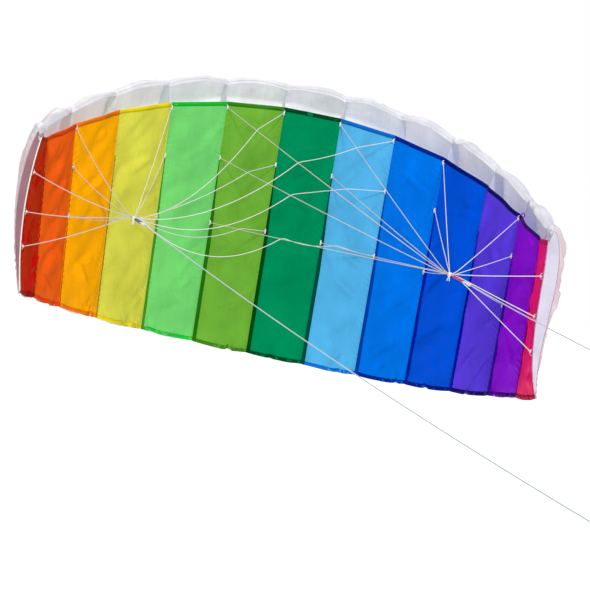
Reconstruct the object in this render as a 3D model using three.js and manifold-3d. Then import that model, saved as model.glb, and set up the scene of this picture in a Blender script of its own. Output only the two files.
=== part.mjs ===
// Two-line parafoil kite: a soft, ram-air wing of thirteen cells, flying with its leading edge up.
// Millimetres. +X runs along the span, -Y faces the flyer (the coloured underside), +Z points to the
// leading edge. The origin lies on the underside, at the middle of the span and a quarter of the chord.
import * as THREE from 'three';
import { mergeVertices } from 'three/addons/utils/BufferGeometryUtils.js';
import Module from 'manifold-3d';

const wasm = await Module();
wasm.setup();

// --- Driving dimensions -------------------------------------------------------------------------

const CELLS = 13;
const SPAN = 1400; // width of the canopy laid flat
const CHORD = 470; // underside, from the lower lip to the trailing edge, at the middle of the span
const LIP_Z = 118; // the lower lip stands this far above the origin

// The canopy bends into a deep arch. An edge's heading at u (-1 at the left tip, 1 at the right tip)
// is a u + b u^2 + c u^3 degrees; b is the small lopsidedness of a wing pulled by one line.
const LEADING_BEND = { a: 98, b: -4, c: 10 };
const TRAILING_BEND = { a: 109, b: -5, c: -13 };
const TRAILING_SHIFT = 18; // the trailing edge is blown this far to the right
const LEADING_DROP = { square: 255, sixth: -115 }; // the lip falls by this towards the tips
const TRAILING_RISE = { square: 125, sixth: -24 }; // the trailing edge rises by this

// The cell section, as shares of the local chord, measured aft from the lower lip and up from the
// underside.
const NOSE_AHEAD = 0.095; // the nose stands ahead of the lower lip
const NOSE_HEIGHT = 0.055;
const CREST_AFT = 0.22;
const CREST_HEIGHT = 0.14;
const LIP_TURN = -24; // degrees round the nose where the upper lip ends
const TIP_THINNING = { left: 0.6, right: 0.35 }; // shares of the thickness lost at the tips
const SLACK_TIP_CAMBER = 0.045; // the left tip's underside is blown this share of its chord outward
const TAUT_TIP_DRAW = 0.04; // the right tip's underside is drawn this far inward by its lines
const FRONT_RECESS = 0.05; // a rib's front edge curves aft towards this share of the chord
const TAIL_HEIGHT = 2.4; // mm between the skins' outer faces at the trailing edge

const SKIN = 0.8; // thickness of a fabric panel
const RIB_THICKNESS = 0.6;
const GAP = 0.35; // clearance between sewn pieces
const UPPER_BILLOW = 8; // a cell swells by this between its ribs
const LOWER_BILLOW = 3;
const PANEL_STEPS = 4; // facets across a cell

const NOSE_TURNS = [LIP_TURN, -6, 12, 32, 58, 90]; // degrees round the nose, from the lip to the crest
const REAR_STATIONS = [0.25, 0.5, 0.75, 1]; // shares of the way from the crest to the trailing edge
const UNDER_STATIONS = [0, 0.25, 0.5, 0.75, 1];

const VENTS = [
  { aft: 0.12, radius: 0.03 },
  { aft: 0.33, radius: 0.034 },
  { aft: 0.54, radius: 0.026 },
];

// Bridle: every line ties to a loop in a rib's lower seam and gathers at a tow point.
const LINE_RADIUS = 0.8;
const BRIDLE_RADIUS = 0.65;
const ROWS = ['A', 'B', 'C'];
const INNER_ROWS = { A: 0.022, B: 0.23, C: 0.5 }; // shares of the chord aft of the lip
const TIP_ROWS = { A: 0.225, B: 0.485, C: 0.71 };
const LINE_STAND_OFF = 1.3; // a line ends this far below the underside
const KNOT_RADIUS = 4;
const STEM_LENGTH = 10; // from the tow point to where a rib's three lines part
const STEM_BALL = 1.5;
const TAUT_SAG = 0.004;
const REST_HEIGHT = 2.8; // a slack line rests this far above the taut line under it

const SIDES = {
  left: {
    outboard: -1,
    tow: [-220, -399, -116],
    ribs: [1, 3, 5, 7, 9],
    ribbon: { color: 0x1c3f94, start: 5.8, length: 11.5, width: 10 },
    loopEnd: 21,
    lineEnd: [475, -868, -328],
    lineSag: 12,
  },
  right: {
    outboard: 1,
    tow: [268, -423, -101],
    ribs: [14, 12, 10, 8, 6],
    ribbon: { color: 0xc8102e, start: 8, length: 19, width: 9 },
    loopEnd: 36,
    lineEnd: [492, -599, -162],
    lineSag: 2,
  },
};
// Headings of the stems round the tow point, from outboard towards the canopy, in the order of ribs.
const STEM_HEADINGS = [5, 45, 85, 122, 158];

// The left half's lines are slack. The inner ones rest on the right half's taut lines where they
// cross: rests are [rib, share of that taut line from its rib], sags are shares of each stretch.
const SLACK = {
  1: { A: { rests: [], sags: [0.03] }, B: { rests: [], sags: [0.03] }, C: { rests: [], sags: [0.03] } },
  3: { A: { rests: [], sags: [0.03] }, B: { rests: [], sags: [0.03] }, C: { rests: [], sags: [0.04] } },
  5: { A: { rests: [], sags: [0.02] }, B: { rests: [], sags: [0.03] }, C: { rests: [], sags: [0.04] } },
  7: {
    A: { rests: [[6, 0.166]], sags: [0.093, 0] },
    B: { rests: [[6, 0.155]], sags: [0.03, 0] },
    C: { rests: [[6, 0.16]], sags: [0.07, 0] },
  },
  9: {
    A: { rests: [[6, 0.38], [8, 0.192]], sags: [0.09, 0.025, 0] },
    B: { rests: [[6, 0.37], [8, 0.168]], sags: [0.115, 0, 0] },
    C: { rests: [[6, 0.36], [8, 0.146]], sags: [0.15, 0.05, 0.02] },
  },
};

// Tow hardware, measured along the flying line from the tow point.
const LOOP_START = 5.2;
const LOOP_HALF_WIDTH = 2.4; // to the middle of a strand
const RIBBON = { depth: 3.8, wall: 0.7 };
const LINE_KNOT_RADIUS = 2.6;
const END_LOOP = { length: 26, halfWidth: 3.2, knot: 2.2 };

const PANEL_COLOURS = [
  0xc4001a, 0xf2561c, 0xffa011, 0xd9d83c, 0x63d662, 0x6aae2c, 0x008c4c,
  0x5cb4f0, 0x0a78e6, 0x0a58dc, 0x4f38cf, 0x7c06bd, 0xe60c5c,
];
const UPPER_SKIN_COLOUR = 0xf1f1f6;
const RIB_COLOUR = 0xe4e3ee;
const LINE_COLOUR = 0xf3f3ee;

// --- The canopy's shape -------------------------------------------------------------------------

const DEG = Math.PI / 180;
const UP = new THREE.Vector3(0, 0, 1);

function vec(list) {
  return new THREE.Vector3(...list);
}

function heading(bend, u) {
  return (bend.a * u + bend.b * u * u + bend.c * u ** 3) * DEG;
}

// A point of an edge's arch in plan, found by adding up short steps from the middle.
function archPoint(bend, u) {
  const steps = 200;
  const step = (u * SPAN) / 2 / steps;
  let x = 0;
  let y = 0;
  for (let i = 0; i < steps; i += 1) {
    const angle = heading(bend, (u * (i + 0.5)) / steps);
    x += Math.cos(angle) * step;
    y -= Math.sin(angle) * step;
  }
  return [x, y];
}

function leadingEdge(u) {
  const [x, y] = archPoint(LEADING_BEND, u);
  return new THREE.Vector3(x, y, LIP_Z - LEADING_DROP.square * u ** 2 - LEADING_DROP.sixth * u ** 6);
}

function trailingEdge(u) {
  const [x, y] = archPoint(TRAILING_BEND, u);
  const z = LIP_Z - CHORD + TRAILING_RISE.square * u ** 2 + TRAILING_RISE.sixth * u ** 6;
  return new THREE.Vector3(x + TRAILING_SHIFT, y, z);
}

// The frame of a rib, numbered 1 to 14 from the left tip.
function ribFrame(number) {
  const u = (2 * (number - 1)) / CELLS - 1;
  const near = 0.01;
  const origin = leadingEdge(u);
  const aft = trailingEdge(u).sub(origin);
  const chord = aft.length();
  aft.normalize();
  const along = leadingEdge(u + near).sub(leadingEdge(u - near));
  along.add(trailingEdge(u + near)).sub(trailingEdge(u - near));
  const up = along.cross(aft).normalize();
  const side = aft.clone().cross(up);
  const thinning = u < 0 ? TIP_THINNING.left : TIP_THINNING.right;
  return { number, origin, aft, up, side, chord, thickness: 1 - thinning * u ** 4 };
}

const RIBS = Array.from({ length: CELLS + 1 }, (_, i) => ribFrame(i + 1));

function sectionPoint(rib, aft, up) {
  return rib.origin.clone().addScaledVector(rib.aft, aft).addScaledVector(rib.up, up);
}

// How far the underside stands up from the straight line between its ends. Only the tips bend.
function undersideHeight(rib, w) {
  if (rib.number === 1) return SLACK_TIP_CAMBER * rib.chord * 4 * w * (1 - w);
  if (rib.number === CELLS + 1) return -TAUT_TIP_DRAW * rib.chord * 6.75 * w ** 2 * (1 - w);
  return 0;
}

// The upper skin's outer line: round the nose from the upper lip to the crest, then aft.
function upperLine(rib) {
  const crest = CREST_HEIGHT * rib.thickness;
  const nose = NOSE_HEIGHT * rib.thickness;
  const points = NOSE_TURNS.map((turn) => {
    const rise = turn < 0 ? nose : crest - nose;
    const aft = CREST_AFT - (CREST_AFT + NOSE_AHEAD * rib.thickness) * Math.cos(turn * DEG);
    return new THREE.Vector2(aft, nose + rise * Math.sin(turn * DEG)).multiplyScalar(rib.chord);
  });
  for (const w of REAR_STATIONS) {
    const fall = 1 - 1.5 * w ** 2 + 0.5 * w ** 3;
    const aft = (CREST_AFT + (1 - CREST_AFT) * w) * rib.chord;
    points.push(new THREE.Vector2(aft, crest * fall * rib.chord + TAIL_HEIGHT * w));
  }
  for (const point of points) {
    point.y += undersideHeight(rib, Math.max(point.x / rib.chord, 0));
  }
  return points;
}

function lowerLine(rib) {
  return UNDER_STATIONS.map((w) => new THREE.Vector2(w * rib.chord, undersideHeight(rib, w)));
}

// Outward normals of an open line whose outside is on its left when walked from first to last.
function lineNormals(points) {
  return points.map((_, i) => {
    const before = points[Math.max(i - 1, 0)];
    const after = points[Math.min(i + 1, points.length - 1)];
    const walk = after.clone().sub(before).normalize();
    return new THREE.Vector2(-walk.y, walk.x);
  });
}

function shifted(points, distance) {
  const normals = lineNormals(points);
  return points.map((p, i) => p.clone().addScaledVector(normals[i], distance));
}

// --- Solids -------------------------------------------------------------------------------------

function signedVolume(positions, faces) {
  const [a, b, c] = [new THREE.Vector3(), new THREE.Vector3(), new THREE.Vector3()];
  let six = 0;
  for (let i = 0; i < faces.length; i += 3) {
    a.fromArray(positions, 3 * faces[i]);
    b.fromArray(positions, 3 * faces[i + 1]);
    c.fromArray(positions, 3 * faces[i + 2]);
    six += a.dot(b.cross(c));
  }
  return six / 6;
}

function meshGeometry(positions, faces) {
  const ordered = signedVolume(positions, faces) > 0 ? faces : faces.slice().reverse();
  const geometry = new THREE.BufferGeometry();
  geometry.setAttribute('position', new THREE.Float32BufferAttribute(positions, 3));
  geometry.setIndex(ordered);
  geometry.computeVertexNormals();
  return geometry;
}

// A closed sheet between an outer and an inner grid of the same size.
function sheetGeometry(outer, inner) {
  const rows = outer.length;
  const columns = outer[0].length;
  const positions = [...outer.flat(), ...inner.flat()].flatMap((p) => p.toArray());
  const at = (layer, i, j) => layer * rows * columns + i * columns + j;
  const faces = [];
  const quad = (a, b, c, d) => faces.push(a, b, c, a, c, d);
  for (let i = 0; i < rows - 1; i += 1) {
    for (let j = 0; j < columns - 1; j += 1) {
      quad(at(0, i, j), at(0, i + 1, j), at(0, i + 1, j + 1), at(0, i, j + 1));
      quad(at(1, i, j + 1), at(1, i + 1, j + 1), at(1, i + 1, j), at(1, i, j));
    }
  }
  const last = columns - 1;
  for (let i = 0; i < rows - 1; i += 1) {
    quad(at(1, i, 0), at(1, i + 1, 0), at(0, i + 1, 0), at(0, i, 0));
    quad(at(0, i, last), at(0, i + 1, last), at(1, i + 1, last), at(1, i, last));
  }
  for (let j = 0; j < last; j += 1) {
    quad(at(0, 0, j), at(0, 0, j + 1), at(1, 0, j + 1), at(1, 0, j));
    quad(at(1, rows - 1, j), at(1, rows - 1, j + 1), at(0, rows - 1, j + 1), at(0, rows - 1, j));
  }
  return meshGeometry(positions, faces);
}

// One cell's panel between two ribs, along a section line, swelling outward between its seams.
function panelGeometry(left, right, line, billow, outside) {
  const face = (distance) => {
    const ends = [left, right].map((rib) => {
      const points = line(rib);
      const normals = lineNormals(points);
      return points.map((p, i) => ({
        seam: sectionPoint(rib, ...p.clone().addScaledVector(normals[i], distance * outside)),
        out: rib.aft.clone().multiplyScalar(normals[i].x).addScaledVector(rib.up, normals[i].y),
      }));
    });
    return ends[0].map((start, i) => {
      const end = ends[1][i];
      const width = start.seam.distanceTo(end.seam);
      const inset = GAP / width;
      const taper = 1 - 0.7 * (i / (ends[0].length - 1)) ** 2;
      return Array.from({ length: PANEL_STEPS + 1 }, (_, j) => {
        const s = inset + (1 - 2 * inset) * (j / PANEL_STEPS);
        const out = start.out.clone().lerp(end.out, s).normalize();
        const swell = billow * taper * 4 * s * (1 - s) * outside;
        return start.seam.clone().lerp(end.seam, s).addScaledVector(out, swell);
      });
    });
  };
  return sheetGeometry(face(0), face(-SKIN));
}

function ribGeometry(rib, vented) {
  const inset = SKIN + GAP;
  const upper = shifted(upperLine(rib), -inset);
  const tail = upper.pop();
  upper.push(upper[upper.length - 1].clone().lerp(tail, 0.75));
  const floorEnd = upper[upper.length - 1].x;
  const shape = new THREE.Shape();
  shape.moveTo(0, inset);
  for (const w of UNDER_STATIONS.slice(1, -1)) {
    shape.lineTo(w * rib.chord, inset + undersideHeight(rib, w));
  }
  shape.lineTo(floorEnd, inset + undersideHeight(rib, floorEnd / rib.chord));
  upper.reverse().forEach((p) => shape.lineTo(p.x, p.y));
  const lip = upper[upper.length - 1];
  shape.quadraticCurveTo(FRONT_RECESS * rib.chord, lip.y * 0.6, 0, inset);
  if (vented) {
    for (const vent of VENTS) {
      const height = 0.47 * heightAt(rib, vent.aft);
      const hole = new THREE.Path();
      hole.absarc(vent.aft * rib.chord, height, vent.radius * rib.chord, 0, 2 * Math.PI, true);
      shape.holes.push(hole);
    }
  }
  const options = { depth: RIB_THICKNESS, bevelEnabled: false, curveSegments: 4 };
  const geometry = new THREE.ExtrudeGeometry(shape, options);
  geometry.translate(0, 0, -RIB_THICKNESS / 2);
  const frame = new THREE.Matrix4().makeBasis(rib.aft, rib.up, rib.side);
  frame.setPosition(rib.origin);
  return geometry.applyMatrix4(frame);
}

function heightAt(rib, share) {
  const w = Math.max(share - CREST_AFT, 0) / (1 - CREST_AFT);
  return CREST_HEIGHT * rib.thickness * rib.chord * (1 - 1.5 * w ** 2 + 0.5 * w ** 3);
}

function solid(geometry) {
  const bare = new THREE.BufferGeometry();
  bare.setAttribute('position', geometry.getAttribute('position'));
  bare.setIndex(geometry.index);
  const merged = mergeVertices(bare, 1e-4);
  const mesh = new wasm.Mesh({
    numProp: 3,
    vertProperties: new Float32Array(merged.getAttribute('position').array),
    triVerts: new Uint32Array(merged.index.array),
  });
  return new wasm.Manifold(mesh);
}

function joined(geometries) {
  const whole = geometries.map(solid).reduce((sum, next) => sum.add(next)).getMesh();
  const geometry = new THREE.BufferGeometry();
  geometry.setAttribute('position', new THREE.Float32BufferAttribute(whole.vertProperties, 3));
  geometry.setIndex(Array.from(whole.triVerts));
  geometry.computeVertexNormals();
  return geometry;
}

function circle(radius) {
  const shape = new THREE.Shape();
  const sides = 8;
  for (let i = 0; i < sides; i += 1) {
    const angle = (2 * Math.PI * i) / sides;
    const place = [radius * Math.cos(angle), radius * Math.sin(angle)];
    if (i === 0) shape.moveTo(...place);
    else shape.lineTo(...place);
  }
  return shape;
}

// A smooth curve whose evenly numbered places are its own points, so a tube's rings sit on them.
class Route extends THREE.CatmullRomCurve3 {
  getPointAt(t, target) {
    return this.getPoint(t, target);
  }

  getTangentAt(t, target) {
    return this.getTangent(t, target);
  }
}

function cord(points, radius = LINE_RADIUS) {
  const extrudePath = new Route(points, false, 'centripetal');
  return new THREE.ExtrudeGeometry(circle(radius), { steps: points.length - 1, extrudePath });
}

function ball(centre, radius, segments = 8) {
  return new THREE.SphereGeometry(radius, segments, 6).translate(...centre.toArray());
}

// --- Bridle lines -------------------------------------------------------------------------------

function attachment(number, row) {
  const rib = RIBS[number - 1];
  const rows = number === 1 || number === CELLS + 1 ? TIP_ROWS : INNER_ROWS;
  return sectionPoint(rib, rows[row] * rib.chord, undersideHeight(rib, rows[row]) - LINE_STAND_OFF);
}

function sideOf(number) {
  return Object.values(SIDES).find((side) => side.ribs.includes(number));
}

function stemDirection(number) {
  const side = sideOf(number);
  const angle = STEM_HEADINGS[side.ribs.indexOf(number)] * DEG;
  return new THREE.Vector3(side.outboard * Math.cos(angle), Math.sin(angle), 0);
}

function stemEnd(number) {
  return vec(sideOf(number).tow).addScaledVector(stemDirection(number), STEM_LENGTH);
}

// Points of a line hanging between two points, without its first point.
function hanging(start, end, sag) {
  const drop = sag * start.distanceTo(end);
  const pieces = 1 + Math.ceil(Math.min(sag, 0.06) * 80);
  return Array.from({ length: pieces }, (_, i) => {
    const t = (i + 1) / pieces;
    return start.clone().lerp(end, t).addScaledVector(UP, -4 * drop * t * (1 - t));
  });
}

// A bridle line's route, from where its rib's three lines part, over the lines it rests on, to the
// seam.
function lineRoute(number, row) {
  const { rests, sags } = SLACK[number]?.[row] ?? { rests: [], sags: [TAUT_SAG] };
  const stops = rests.map(([rib, share]) => {
    const [anchor, tow] = [attachment(rib, row), stemEnd(rib)];
    const drop = 4 * share * (1 - share) * TAUT_SAG * anchor.distanceTo(tow);
    return anchor.lerp(tow, share).addScaledVector(UP, REST_HEIGHT - drop);
  });
  const route = [stemEnd(number)];
  [...stops, attachment(number, row)].forEach((stop, i) => {
    route.push(...hanging(route[route.length - 1], stop, sags[i]));
  });
  return route;
}

function bridleGeometry(number) {
  const stemStart = vec(sideOf(number).tow).addScaledVector(stemDirection(number), KNOT_RADIUS + GAP);
  const stem = cord([stemStart, stemEnd(number)], BRIDLE_RADIUS);
  const lines = ROWS.map((row) => cord(lineRoute(number, row), BRIDLE_RADIUS));
  return joined([stem, ball(stemEnd(number), STEM_BALL), ...lines]);
}

// --- Tow points and flying lines ----------------------------------------------------------------

function pullDirection(side) {
  return vec(side.lineEnd).sub(vec(side.tow)).normalize();
}

// Axes at a tow point: z along the flying line, x across it and level.
function towMatrix(side) {
  const pull = pullDirection(side);
  const across = UP.clone().cross(pull).normalize();
  const over = pull.clone().cross(across);
  return new THREE.Matrix4().makeBasis(across, over, pull).setPosition(vec(side.tow));
}

// A closed loop of cord in the xz plane, from z = start to z = end.
function cordLoop(start, end, halfWidth) {
  const geometry = new THREE.TorusGeometry(halfWidth, LINE_RADIUS, 8, 16);
  geometry.rotateX(Math.PI / 2);
  const reach = halfWidth + LINE_RADIUS;
  const positions = geometry.getAttribute('position');
  for (let i = 0; i < positions.count; i += 1) {
    const z = positions.getZ(i);
    positions.setZ(i, z > 0.01 ? z + end - reach : z + start + reach);
  }
  return geometry;
}

function knotGeometry(side) {
  const tow = vec(side.tow);
  const tailStart = tow.clone().addScaledVector(UP, -KNOT_RADIUS * 0.6);
  const tailEnd = tow.clone().addScaledVector(UP, -KNOT_RADIUS * 2.6);
  return joined([ball(tow, KNOT_RADIUS, 12), cord([tailStart, tailEnd])]);
}

function towLoopGeometry(side) {
  return cordLoop(LOOP_START, side.loopEnd, LOOP_HALF_WIDTH).applyMatrix4(towMatrix(side));
}

// A ribbon folded round the loop's two strands: a flat sleeve, open at both ends.
function ribbonGeometry(side) {
  const sleeve = (width, depth, make) => {
    const radius = depth / 2;
    make.absarc(width / 2 - radius, 0, radius, -Math.PI / 2, Math.PI / 2, false);
    make.absarc(-width / 2 + radius, 0, radius, Math.PI / 2, 1.5 * Math.PI, false);
    make.closePath();
    return make;
  };
  const { start, length, width } = side.ribbon;
  const { depth, wall } = RIBBON;
  const shape = sleeve(width, depth, new THREE.Shape());
  shape.holes.push(sleeve(width - 2 * wall, depth - 2 * wall, new THREE.Path()));
  const options = { depth: length, bevelEnabled: false, curveSegments: 6 };
  const geometry = new THREE.ExtrudeGeometry(shape, options);
  return geometry.translate(0, 0, start).applyMatrix4(towMatrix(side));
}

function lineKnotCentre(side) {
  return side.loopEnd + GAP + LINE_KNOT_RADIUS;
}

function lineKnotGeometry(side) {
  const centre = new THREE.Vector3(0, 0, lineKnotCentre(side));
  return ball(centre, LINE_KNOT_RADIUS).applyMatrix4(towMatrix(side));
}

function flyingLineGeometry(side) {
  const startZ = lineKnotCentre(side) + LINE_KNOT_RADIUS + GAP;
  const start = new THREE.Vector3(0, 0, startZ).applyMatrix4(towMatrix(side));
  const end = vec(side.lineEnd);
  const sag = side.lineSag / start.distanceTo(end);
  const loop = cordLoop(0, END_LOOP.length, END_LOOP.halfWidth);
  const frame = towMatrix(side);
  loop.applyMatrix4(frame.setPosition(end));
  return joined([cord([start, ...hanging(start, end, sag)]), ball(end, END_LOOP.knot), loop]);
}

// --- The kite -----------------------------------------------------------------------------------

const kite = new THREE.Group();

function add(name, geometry, color, roughness) {
  const side = name.includes('panel') ? THREE.DoubleSide : THREE.FrontSide;
  const material = new THREE.MeshStandardMaterial({ color, roughness, metalness: 0, side });
  const mesh = new THREE.Mesh(geometry, material);
  mesh.name = name;
  kite.add(mesh);
}

const two = (number) => String(number).padStart(2, '0');

for (let cell = 1; cell <= CELLS; cell += 1) {
  const left = RIBS[cell - 1];
  const right = RIBS[cell];
  const under = panelGeometry(left, right, lowerLine, LOWER_BILLOW, -1);
  add(`lower_panel_${two(cell)}`, under, PANEL_COLOURS[cell - 1], 0.45);
  const over = panelGeometry(left, right, upperLine, UPPER_BILLOW, 1);
  add(`upper_panel_${two(cell)}`, over, UPPER_SKIN_COLOUR, 0.5);
}

RIBS.forEach((rib, i) => {
  const vented = i > 0 && i < CELLS;
  add(`rib_${two(i + 1)}`, ribGeometry(rib, vented), RIB_COLOUR, 0.6);
});

for (const [name, side] of Object.entries(SIDES)) {
  for (const number of side.ribs) {
    add(`bridle_${two(number)}`, bridleGeometry(number), LINE_COLOUR, 0.7);
  }
  add(`${name}_bridle_knot`, knotGeometry(side), LINE_COLOUR, 0.7);
  add(`${name}_tow_loop`, towLoopGeometry(side), LINE_COLOUR, 0.7);
  add(`${name}_ribbon_tab`, ribbonGeometry(side), side.ribbon.color, 0.6);
  add(`${name}_line_knot`, lineKnotGeometry(side), LINE_COLOUR, 0.7);
  add(`${name}_flying_line`, flyingLineGeometry(side), LINE_COLOUR, 0.7);
}

export default kite;
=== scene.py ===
# Two-line parafoil kite in flight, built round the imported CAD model. Metres, in the CAD's frame:
# +X along the span to the right as the flyer sees it, -Y towards the flyer, +Z to the leading edge.
import math
import random

import bpy
import numpy as np
from mathutils import Matrix, Vector
from mathutils.geometry import delaunay_2d_cdt


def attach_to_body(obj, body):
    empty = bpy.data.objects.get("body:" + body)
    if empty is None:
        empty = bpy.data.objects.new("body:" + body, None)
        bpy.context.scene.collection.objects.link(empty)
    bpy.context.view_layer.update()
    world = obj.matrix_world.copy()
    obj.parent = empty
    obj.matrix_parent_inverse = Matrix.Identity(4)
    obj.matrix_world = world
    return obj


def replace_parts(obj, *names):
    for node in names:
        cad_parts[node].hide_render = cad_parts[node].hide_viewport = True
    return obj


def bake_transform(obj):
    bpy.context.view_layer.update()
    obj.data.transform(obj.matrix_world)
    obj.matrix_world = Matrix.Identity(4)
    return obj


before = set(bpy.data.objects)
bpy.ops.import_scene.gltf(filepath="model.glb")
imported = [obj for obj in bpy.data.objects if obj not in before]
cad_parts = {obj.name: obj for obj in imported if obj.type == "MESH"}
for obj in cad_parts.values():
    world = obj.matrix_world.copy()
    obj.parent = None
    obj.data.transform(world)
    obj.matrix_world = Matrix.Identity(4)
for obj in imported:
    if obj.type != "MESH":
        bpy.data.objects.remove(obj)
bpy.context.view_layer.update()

# --- The kite's own dimensions, the same as in the CAD source ---

CELLS = 13
SPAN = 1.4
CHORD = 0.47
LIP_Z = 0.118
LEADING_BEND = (98, -4, 10)  # degrees: an edge's heading at u is a u + b u^2 + c u^3
TRAILING_BEND = (109, -5, -13)
TRAILING_SHIFT = 0.018
LEADING_DROP = {2: 0.255, 6: -0.115}
TRAILING_RISE = {2: 0.125, 6: -0.024}

NOSE_AHEAD = 0.095
NOSE_HEIGHT = 0.055
CREST_AFT = 0.22
CREST_HEIGHT = 0.14
LIP_TURN = -24
TIP_THINNING = {"left": 0.6, "right": 0.35}
SLACK_TIP_CAMBER = 0.045
TAUT_TIP_DRAW = 0.04
FRONT_RECESS = 0.05
TAIL_HEIGHT = 0.0024
UPPER_BILLOW = 0.008
LOWER_BILLOW = 0.003
RIB_INSET = 0.0012
VENTS = ((0.12, 0.030), (0.33, 0.034), (0.54, 0.026))  # place aft and radius, as shares of the chord

LIP_SCALLOP = 0.010  # share of the upper skin's length by which its lip draws back in mid-cell

LINE_RADIUS = 0.0008
BRIDLE_RADIUS = 0.00065
ROWS = "ABC"
INNER_ROWS = {"A": 0.022, "B": 0.23, "C": 0.5}
TIP_ROWS = {"A": 0.225, "B": 0.485, "C": 0.71}
LINE_STAND_OFF = 0.0013
KNOT_RADIUS = 0.004
KNOT_GAP = 0.00035
STEM_LENGTH = 0.010
TAUT_SAG = 0.004
REST_HEIGHT = 0.0028
STEM_HEADINGS = (5, 45, 85, 122, 158)

SIDES = {
    "left": {
        "outboard": -1,
        "tow": (-0.220, -0.399, -0.116),
        "ribs": (1, 3, 5, 7, 9),
        "ribbon": {"colour": 0x123886, "start": 0.0058, "length": 0.0115, "width": 0.010},
        "loop_end": 0.021,
        "line_end": (0.475, -0.868, -0.328),
        "line_sag": 0.012,
    },
    "right": {
        "outboard": 1,
        "tow": (0.268, -0.423, -0.101),
        "ribs": (14, 12, 10, 8, 6),
        "ribbon": {"colour": 0xC8102E, "start": 0.008, "length": 0.019, "width": 0.009},
        "loop_end": 0.036,
        "line_end": (0.492, -0.599, -0.162),
        "line_sag": 0.002,
    },
}

# The left half's lines are slack, and the inner ones rest on taut lines of the right half: by rib and
# row, (rib, share of that line from its rib) for each rest, and the sag of each stretch between them.
FREE_SAGS = {1: (0.03, 0.03, 0.03), 3: (0.03, 0.03, 0.04), 5: (0.02, 0.03, 0.04)}
SLACK = {(rib, row): ((), (sag,)) for rib, sags in FREE_SAGS.items() for row, sag in zip(ROWS, sags)}
SLACK |= {
    (7, "A"): (((6, 0.166),), (0.093, 0)),
    (7, "B"): (((6, 0.155),), (0.03, 0)),
    (7, "C"): (((6, 0.16),), (0.07, 0)),
    (9, "A"): (((6, 0.38), (8, 0.192)), (0.09, 0.025, 0)),
    (9, "B"): (((6, 0.37), (8, 0.168)), (0.115, 0, 0)),
    (9, "C"): (((6, 0.36), (8, 0.146)), (0.15, 0.05, 0.02)),
}

LOOP_START = 0.0052
LOOP_HALF_WIDTH = 0.0024
RIBBON_DEPTH = 0.0038
RIBBON_WALL = 0.0007
LINE_KNOT_RADIUS = 0.0026
END_LOOP = {"length": 0.026, "half_width": 0.0032, "knot": 0.0022}

# --- Finish ---

PANELS = (  # the underside from left to right: name, and the colours of its cloth and its hems; the hems are painted darker and deeper than the cloth, as painted shade for light coming through two layers
    ("red", 0xD40002, 0xB00010),
    ("vermilion", 0xFF6612, 0xF04A10),
    ("orange", 0xFFB002, 0xF4780C),
    ("yellow", 0xD2D24A, 0xE2CE08),
    ("light_green", 0x70CE6C, 0x18B82E),
    ("lime_green", 0x6AA836, 0x347A16),
    ("emerald", 0x008856, 0x024420),
    ("sky_blue", 0x52B0E0, 0x0E68C8),
    ("azure", 0x0076E6, 0x022690),
    ("royal_blue", 0x0056DE, 0x021880),
    ("indigo", 0x6442F0, 0x160C6E),
    ("purple", 0xA000EE, 0x3C0078),
    ("crimson", 0xFF0272, 0xCC0440),
)
PANEL_SLOTS = [name + "_nylon" for name, _, _ in PANELS]
UPPER_SKIN_COLOUR = 0xF1F1F6
RIB_COLOUR = 0xF4F4FC
# The right tip's rib: the white rib cloth painted grey, as painted shade.
TIP_RIB_SHADE_COLOUR = 0xC0BECE
SHADED_RIB_COLOUR = 0x967078  # the left tip's white cloth, painted in shade and tinted by painted red light coming through from the red panel
LINE_COLOUR = 0xE2DFD6
DULL_LINE_COLOUR = 0xBEBCB4  # the same cord, a duller tone, on the ribs whose lines look fainter
DULL_LINE_RIBS = (1, 3, 6, 8)
# The flying line's pale cord, painted grey-blue as a shaded copy, so that it shows grey against the white
# sky.
FLYING_LINE_COLOUR = 0xB0BCC2

HEM = 0.007
HEM_LIFT = 0.0005
TAPE_LIFT = 0.0011
TAPE_START = 0.22  # share of the chord where the seam's folded edge, in its painted shade, starts to show
TAPE_NARROW = 0.0015
TAPE_WIDE = 0.0075
# TAPE_TONE dims the seam strip's layered colour: painted shade.
TAPE_TONE = 0.5
STITCH_PITCH = 0.0042
STITCH_LENGTH = 0.0028
STITCH_RADIUS = 0.00024
SEAM_STITCH_INSET = 0.0019
HEM_STITCH_INSET = 0.0056

# --- Camera ---

CAMERA_PLACE = (0.0952, -2.0779, -0.0019)
CAMERA_RIGHT = (0.9787, 0.0499, 0.1990)
CAMERA_AHEAD = (-0.0290, 0.9939, -0.1066)
CAMERA_LENS = 67.1  # mm, on a sensor 36 mm wide


def add_camera():
    data = bpy.data.cameras.new("camera")
    data.sensor_width = 36
    data.lens = CAMERA_LENS
    data.clip_start = 0.01
    camera = bpy.data.objects.new("camera", data)
    back = -Vector(CAMERA_AHEAD).normalized()
    right = Vector(CAMERA_RIGHT)
    right = (right - right.dot(back) * back).normalized()
    axes = Matrix((right, back.cross(right), back)).transposed().to_4x4()
    camera.matrix_world = Matrix.Translation(CAMERA_PLACE) @ axes
    bpy.context.scene.collection.objects.link(camera)
    bpy.context.scene.camera = camera


add_camera()

# --- Small helpers ---


def unit(vectors):
    """Vectors, the last axis of an array, scaled to length 1."""
    vectors = np.asarray(vectors, float)
    return vectors / np.linalg.norm(vectors, axis=-1, keepdims=True)


def smooth_step(x):
    x = np.clip(x, 0, 1)
    return x * x * (3 - 2 * x)


def lengths_along(line):
    steps = np.linalg.norm(np.diff(line, axis=0), axis=1)
    return np.concatenate(([0], np.cumsum(steps)))


def at_shares(line, shares):
    """Points of a line at shares of its length."""
    run = lengths_along(line)
    places = np.asarray(shares) * run[-1]
    return np.stack([np.interp(places, run, line[:, i]) for i in range(line.shape[1])], -1)


def evenly(line, count):
    return at_shares(line, np.linspace(0, 1, count))


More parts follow.
